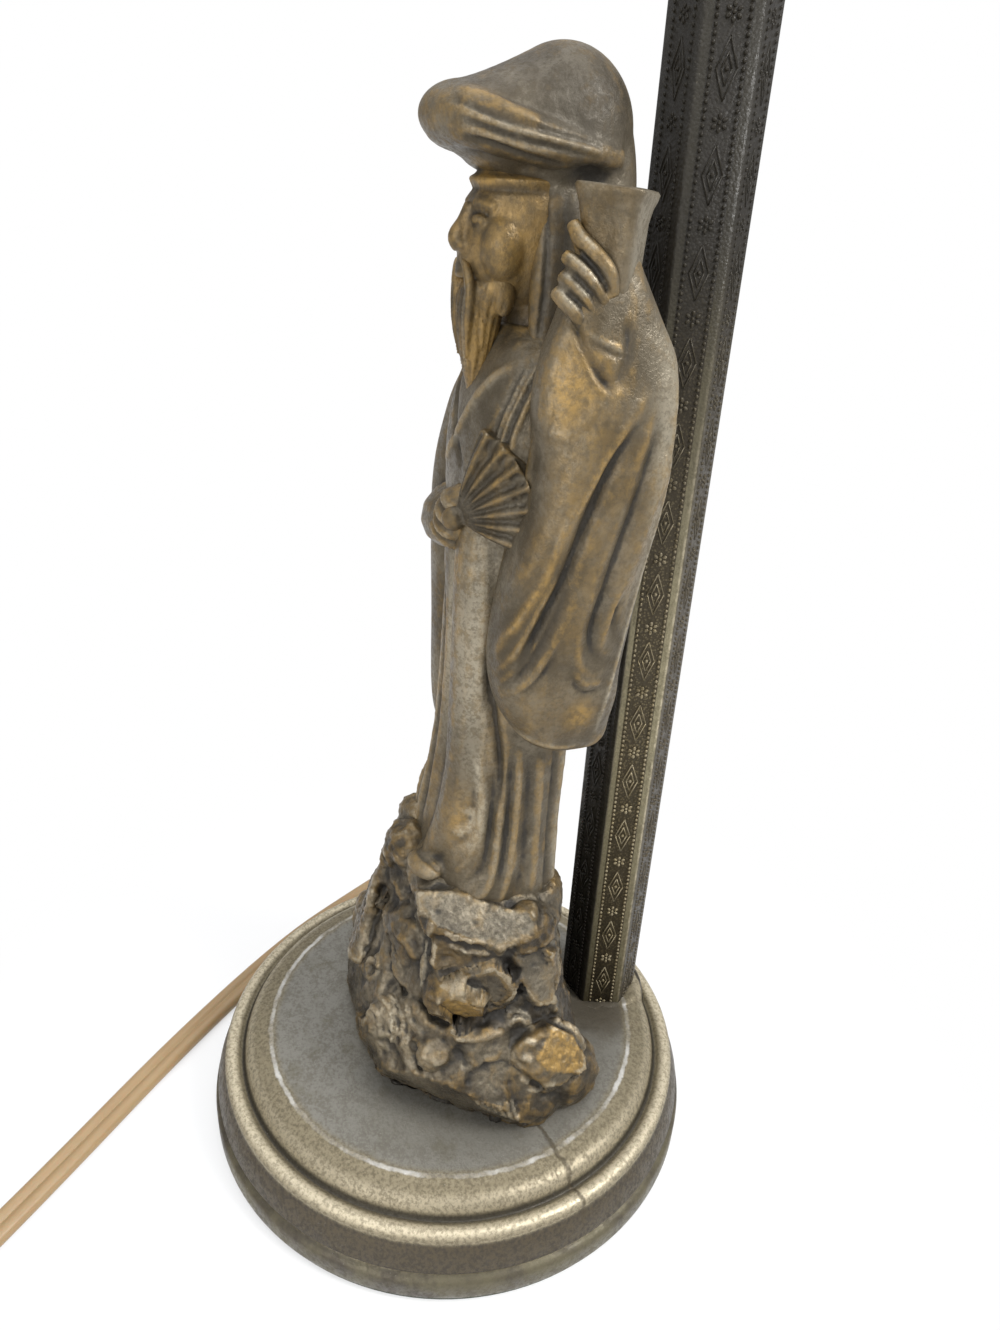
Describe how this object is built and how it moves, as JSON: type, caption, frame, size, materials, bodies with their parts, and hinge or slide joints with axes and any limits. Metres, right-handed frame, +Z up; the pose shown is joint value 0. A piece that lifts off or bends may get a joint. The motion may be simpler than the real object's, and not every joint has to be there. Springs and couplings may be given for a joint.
{
  "type": "figural table lamp",
  "caption": "Table lamp with a robed sage on a rock in front of an embossed hexagonal tube, on a round stepped base, with a turn-key bulb socket and a flat cord.",
  "frame": {"origin": "centre of the underside of the round base", "axes": "+Z up along the post; the sage faces -Y; the post stands behind the figure on +Y"},
  "size_m": [0.1659, 0.3084, 0.3973],
  "materials": {
    "spelter": "old bronze-grey paint, worn to dull gold on the high places",
    "base_metal": "grey-brown patina over brass colour, satin",
    "embossed_brass": "embossed sheet, dark patina in the ground, bright worn edges",
    "polished_brass": "lacquered",
    "steel": "zinc plated",
    "felt": "dark green baize",
    "bushing": "dark brown",
    "fibre": "pressed fibre board",
    "moulding": "black moulding",
    "cord_cover": "translucent tan flat cord",
    "plug_moulding": "brown moulded plug"
  },
  "bodies": {
    "lamp": {"base_casting": "base_metal", "base_felt": "felt", "cord_bushing": "bushing", "hex_tube": "embossed_brass", "tube_seat": "steel", "tube_cap": "embossed_brass", "threaded_rod": "steel", "base_washer": "steel", "base_nut": "steel", "top_nut": "polished_brass", "rock_mound": "spelter", "rock_screws": "steel", "figure_robe": "spelter", "figure_left_arm": "spelter", "figure_right_arm": "spelter", "figure_head": "spelter", "figure_beard": "spelter", "figure_hat": "spelter", "held_cup": "spelter", "folding_fan": "spelter", "socket_cap": "polished_brass", "socket_set_screw": "steel", "socket_shell": "polished_brass", "socket_liner": "fibre", "socket_insulator": "moulding", "screw_shell": "polished_brass", "centre_contact": "polished_brass", "terminal_screws": "polished_brass", "cord_run": "cord_cover", "cord_coil": "cord_cover", "cord_tail": "cord_cover", "inner_wires": "cord_cover", "plug_body": "plug_moulding", "plug_blades": "polished_brass"},
    "key": {"key_shaft": "steel", "key_knob": "moulding"}
  },
  "joints": [
    {"name": "key_turn", "type": "hinge", "parent": "lamp", "child": "key", "pos_m": [0.01, 0.046, 0.3617], "axis": [1, 0, 0], "continuous": true}
  ]
}
